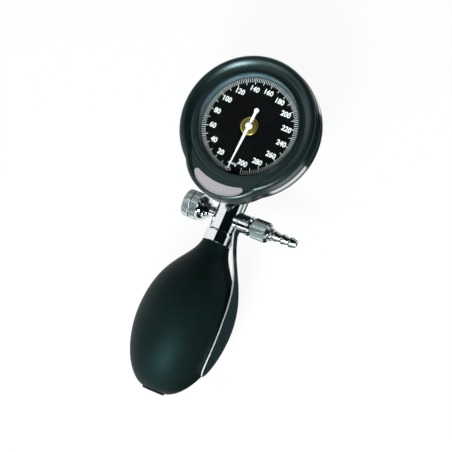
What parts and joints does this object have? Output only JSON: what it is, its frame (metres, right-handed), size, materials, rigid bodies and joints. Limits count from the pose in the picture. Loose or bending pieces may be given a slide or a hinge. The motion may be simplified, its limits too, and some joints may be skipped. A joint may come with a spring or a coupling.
{
  "type": "hand-held aneroid sphygmomanometer",
  "caption": "Palm-type blood pressure gauge: round dial head with a chin, valve body with knurled release knob and hose barb, sprung metal spoon and black rubber bulb.",
  "frame": {"origin": "centre of the bounding box in X and Y, at its lowest point in Z (the underside of the bulb)", "axes": "+Y from the bulb along the valve body towards the dial's top, +Z out of the dial, +X towards the hose connector"},
  "size_m": [0.0806, 0.1884, 0.0561],
  "materials": {
    "housing": "satin greenish-black enamel",
    "trim": "polished band",
    "plain_metal": "fine satin, bare",
    "lens": "clear, polished",
    "seal": "matte",
    "window_wall": "satin blue-grey",
    "screw": "turned",
    "dial": "matte black with white print",
    "pointer": "matte white",
    "brass": "turned",
    "bronze": "pressed sheet, satin",
    "steel": "satin",
    "spring": "bright wire",
    "chrome": "polished",
    "satin_chrome": "satin with bright edges",
    "filter": "sintered, rough",
    "bulb": "smooth matte, faint blue-green sheen"
  },
  "bodies": {
    "frame": {"front_housing": "housing", "rear_housing": "housing", "trim_band": "trim", "badge_plate": "plain_metal", "lens": "lens", "lens_gasket": "seal", "dial_ring": "window_wall", "housing_screws": "screw", "base_screws": "screw", "dial_plate": "dial", "dial_bush": "brass", "hairspring": "spring", "hairspring_stud": "brass", "top_plate": "brass", "bottom_plate": "brass", "plate_pillars": "brass", "base_pillars": "brass", "base_plate": "steel", "rocker_brackets": "brass", "capsule": "bronze", "inlet_block": "brass", "inlet_stem": "chrome", "stem_nut": "chrome", "stem_seal": "seal", "inlet_filter": "filter", "valve_body": "chrome", "hose_port": "chrome", "port_seal": "seal", "release_seat": "brass", "release_bonnet": "chrome", "release_packing": "seal", "bulb_stem": "brass", "outlet_spring": "spring", "collar_washer": "seal", "collar": "chrome", "spoon": "chrome", "bulb": "bulb", "intake_housing": "satin_chrome", "intake_cage": "brass", "intake_screen": "steel"},
    "pointer": {"pointer": "pointer", "pointer_arbor": "brass"},
    "sector": {"sector_gear": "brass", "sector_arbor": "steel"},
    "rocker": {"rocking_shaft": "steel"},
    "button": {"capsule_button": "brass"},
    "needle": {"release_needle": "brass"},
    "knob": {"release_knob": "satin_chrome"},
    "hose_connector": {"hose_barb": "satin_chrome"},
    "nut": {"lock_nut": "satin_chrome"},
    "outlet_disc": {"outlet_valve": "seal"},
    "intake_disc": {"intake_valve": "seal"}
  },
  "joints": [
    {"name": "sector_swing", "type": "hinge", "parent": "frame", "child": "sector", "pos_m": [-0.01946, 0.06055, 0.0423], "axis": [0, 0, 1], "range_deg": [0, 31.18], "stiffness_Nm_per_rad": 0.0005},
    {"name": "pointer_sweep", "type": "hinge", "parent": "frame", "child": "pointer", "pos_m": [-0.00205, 0.05597, 0.0493], "axis": [0, 0, 1], "range_deg": [-343, 0], "deforming": ["hairspring"]},
    {"name": "rocker_turn", "type": "hinge", "parent": "frame", "child": "rocker", "pos_m": [-0.00188, 0.05837, 0.0377], "axis": [-0.9976, 0.0698, 0], "range_deg": [0, 31.18]},
    {"name": "capsule_lift", "type": "slide", "parent": "frame", "child": "button", "axis": [0, 0, 1], "range_m": [0, 0.00129], "deforming": ["capsule"]},
    {"name": "knob_turn", "type": "hinge", "parent": "needle", "child": "knob", "pos_m": [-0.01225, 0.00847, 0.0253], "axis": [-1, 0, 0], "range_deg": [0, 720]},
    {"name": "needle_travel", "type": "slide", "parent": "frame", "child": "needle", "axis": [-1, 0, 0], "range_m": [0, 0.0015]},
    {"name": "nut_turn", "type": "hinge", "parent": "hose_connector", "child": "nut", "pos_m": [0.0142, 0.00847, 0.0253], "axis": [1, 0, 0], "range_deg": [0, 2160]},
    {"name": "connector_out", "type": "slide", "parent": "frame", "child": "hose_connector", "axis": [1, 0, 0], "range_m": [0, 0.0045]},
    {"name": "outlet_lift", "type": "slide", "parent": "frame", "child": "outlet_disc", "axis": [0, 1, 0], "range_m": [0, 0.0008], "stiffness_N_per_m": 20, "deforming": ["outlet_spring"]},
    {"name": "intake_lift", "type": "slide", "parent": "frame", "child": "intake_disc", "axis": [0, 1, 0], "range_m": [0, 0.001]}
  ],
  "couplings": [
    {"joint": "pointer_sweep", "follows": "sector_swing", "ratio": -11},
    {"joint": "rocker_turn", "follows": "sector_swing", "ratio": 1},
    {"joint": "capsule_lift", "follows": "sector_swing", "m_per_rad": 0.0023705},
    {"joint": "knob_turn", "follows": "needle_travel", "rad_per_m": 8377.6},
    {"joint": "nut_turn", "follows": "connector_out", "rad_per_m": 8377.6}
  ]
}
